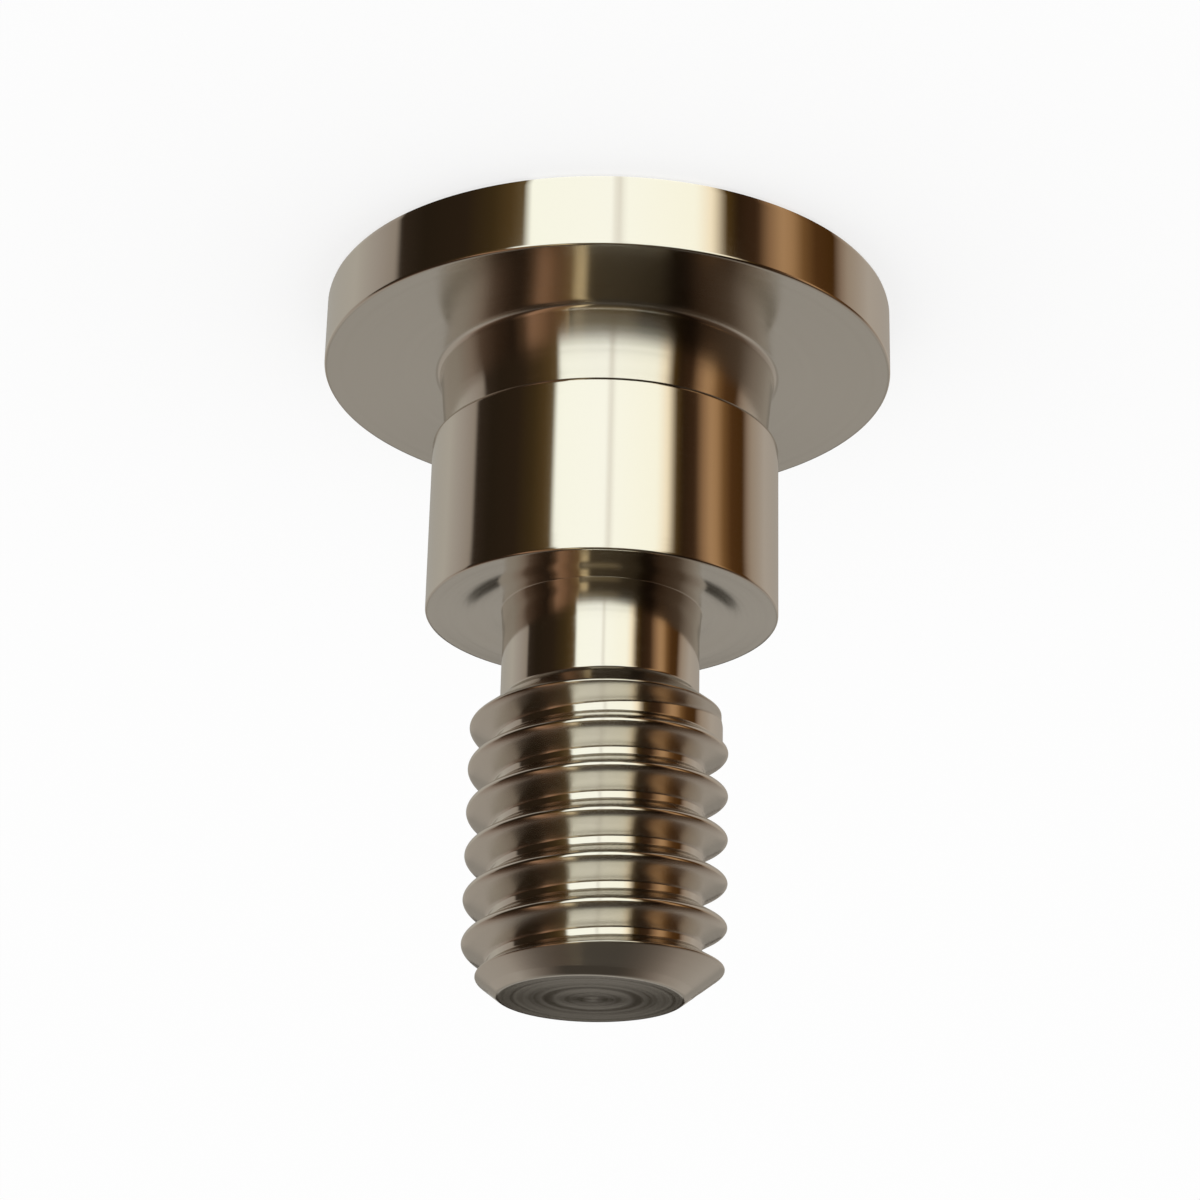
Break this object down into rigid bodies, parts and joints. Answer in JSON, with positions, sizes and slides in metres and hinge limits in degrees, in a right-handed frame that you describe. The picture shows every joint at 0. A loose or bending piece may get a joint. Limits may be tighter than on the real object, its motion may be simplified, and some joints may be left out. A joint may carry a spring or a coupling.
{
  "type": "shoulder bolt",
  "caption": "Low-head shoulder bolt: thin flat disc head with hexagon socket, smooth 8 mm shoulder, relief neck and right-hand M6 thread.",
  "frame": {"origin": "centre of the head's flat outer face, the face the bolt stands on", "axes": "+Z along the bolt's axis from the head to the threaded end; a wrench flat of the socket's hexagon faces +Y; the middle of the thread's groove crosses +X 3.25 mm past the shoulder's rim"},
  "size_m": [0.0132, 0.0132, 0.0166],
  "materials": {
    "bright_steel": "bright turned"
  },
  "bodies": {
    "root": {"shoulder_bolt": "bright_steel"}
  },
  "joints": []
}
